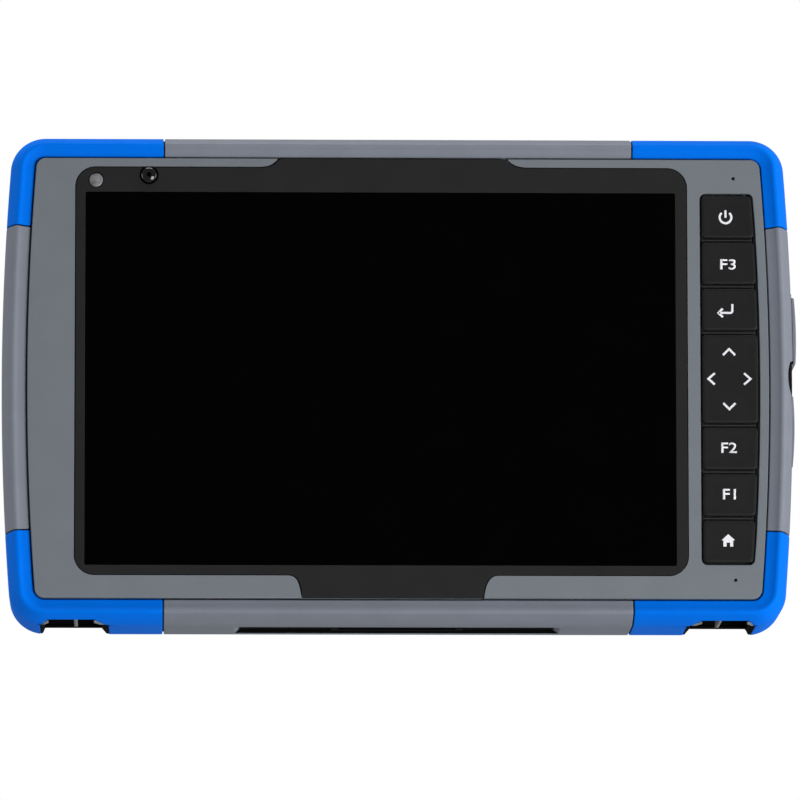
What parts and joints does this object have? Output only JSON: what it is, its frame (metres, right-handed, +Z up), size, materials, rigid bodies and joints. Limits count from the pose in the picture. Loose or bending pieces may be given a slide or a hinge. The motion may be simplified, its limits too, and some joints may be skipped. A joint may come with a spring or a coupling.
{
  "type": "data collector",
  "caption": "Rugged handheld field tablet with a landscape display, a side keypad, corner bumpers, strap recesses, a port door and a rear battery pack.",
  "frame": {"origin": "middle of the flat that the lower bumpers stand on, at the centre of the overall box", "axes": "+X to the right as seen from the front, +Y from the display towards the battery side, +Z up in landscape use"},
  "size_m": [0.2037, 0.036, 0.1266],
  "materials": {
    "panel_plastic": "satin",
    "rail_rubber": "matte",
    "bumper_rubber": "satin",
    "anchor_plastic": "satin",
    "bezel_plastic": "matte",
    "key_rubber": "matte",
    "black_plastic": "satin",
    "battery_plastic": "matte",
    "screen_glass": "gloss",
    "display_module": "satin",
    "lens_black": "gloss",
    "lens_pale": "satin",
    "seal_rubber": "matte",
    "magnesium": "satin",
    "steel": "satin",
    "cell_foil": "satin",
    "circuit_board": "satin",
    "copper": "satin",
    "antenna_ceramic": "matte"
  },
  "bodies": {
    "housing": {"front_panel": "panel_plastic", "rear_case": "panel_plastic", "rail_top": "rail_rubber", "rail_bottom": "rail_rubber", "rail_left": "rail_rubber", "rail_right": "rail_rubber", "bumper_top_left": "bumper_rubber", "bumper_top_right": "bumper_rubber", "bumper_bottom_left": "bumper_rubber", "bumper_bottom_right": "bumper_rubber", "strap_anchor_top_left": "anchor_plastic", "strap_anchor_top_right": "anchor_plastic", "strap_anchor_bottom_left": "anchor_plastic", "strap_anchor_bottom_right": "anchor_plastic", "screen_bezel": "bezel_plastic", "keypad_frame": "black_plastic", "docking_connector": "black_plastic", "battery_contacts": "black_plastic", "power_jack": "black_plastic", "speaker": "black_plastic", "rear_camera_module": "black_plastic", "touch_glass": "screen_glass", "display_panel": "display_module", "front_camera_lens": "lens_black", "rear_camera_window": "lens_black", "light_sensor_lens": "lens_pale", "flash_window": "lens_pale", "housing_seal": "seal_rubber", "chassis": "magnesium", "port_door_pin": "steel", "usb_a_port": "steel", "usb_c_port": "steel", "microphone_upper": "steel", "microphone_lower": "steel", "radio_module": "steel", "case_screw_top_left": "steel", "case_screw_top_right": "steel", "case_screw_bottom_left": "steel", "case_screw_bottom_right": "steel", "main_board": "circuit_board", "keypad_board": "circuit_board", "memory_module": "circuit_board", "heat_spreader": "copper", "display_cable": "copper", "gnss_antenna": "antenna_ceramic"},
    "power_key": {"power_key": "key_rubber"},
    "upper_function_key": {"upper_function_key": "key_rubber"},
    "enter_key": {"enter_key": "key_rubber"},
    "middle_function_key": {"middle_function_key": "key_rubber"},
    "lower_function_key": {"lower_function_key": "key_rubber"},
    "home_key": {"home_key": "key_rubber"},
    "direction_pad_pivot": {"direction_pad_pivot": "black_plastic"},
    "direction_pad": {"direction_pad": "key_rubber"},
    "port_door": {"port_door": "rail_rubber", "port_door_seal": "seal_rubber"},
    "battery_pack": {"battery_tray": "black_plastic", "battery_cells": "cell_foil", "battery_cover": "battery_plastic"},
    "battery_latch_left": {"battery_latch_left": "black_plastic"},
    "battery_latch_right": {"battery_latch_right": "black_plastic"}
  },
  "joints": [
    {"name": "power_press", "type": "slide", "parent": "housing", "child": "power_key", "axis": [0, 1, 0], "range_m": [0, 0.0005], "stiffness_N_per_m": 600},
    {"name": "upper_function_press", "type": "slide", "parent": "housing", "child": "upper_function_key", "axis": [0, 1, 0], "range_m": [0, 0.0005], "stiffness_N_per_m": 600},
    {"name": "enter_press", "type": "slide", "parent": "housing", "child": "enter_key", "axis": [0, 1, 0], "range_m": [0, 0.0005], "stiffness_N_per_m": 600},
    {"name": "middle_function_press", "type": "slide", "parent": "housing", "child": "middle_function_key", "axis": [0, 1, 0], "range_m": [0, 0.0005], "stiffness_N_per_m": 600},
    {"name": "lower_function_press", "type": "slide", "parent": "housing", "child": "lower_function_key", "axis": [0, 1, 0], "range_m": [0, 0.0005], "stiffness_N_per_m": 600},
    {"name": "home_press", "type": "slide", "parent": "housing", "child": "home_key", "axis": [0, 1, 0], "range_m": [0, 0.0005], "stiffness_N_per_m": 600},
    {"name": "pad_rock_up_down", "type": "hinge", "parent": "housing", "child": "direction_pad_pivot", "pos_m": [0.08385, -0.016, 0.0632], "axis": [1, 0, 0], "range_deg": [-2.2, 2.2], "stiffness_Nm_per_rad": 0.2},
    {"name": "pad_rock_left_right", "type": "hinge", "parent": "direction_pad_pivot", "child": "direction_pad", "pos_m": [0.08385, -0.016, 0.0632], "axis": [0, 0, 1], "range_deg": [-3, 3], "stiffness_Nm_per_rad": 0.15},
    {"name": "port_door_swing", "type": "hinge", "parent": "housing", "child": "port_door", "pos_m": [0.0998, 0.0083, 0.064], "axis": [0, 0, 1], "range_deg": [0, 105]},
    {"name": "battery_release", "type": "slide", "parent": "housing", "child": "battery_pack", "axis": [0, 1, 0], "range_m": [0, 0.03]},
    {"name": "latch_left_slide", "type": "slide", "parent": "housing", "child": "battery_latch_left", "axis": [-1, 0, 0], "range_m": [0, 0.0045], "stiffness_N_per_m": 150},
    {"name": "latch_right_slide", "type": "slide", "parent": "housing", "child": "battery_latch_right", "axis": [1, 0, 0], "range_m": [0, 0.0045], "stiffness_N_per_m": 150}
  ]
}
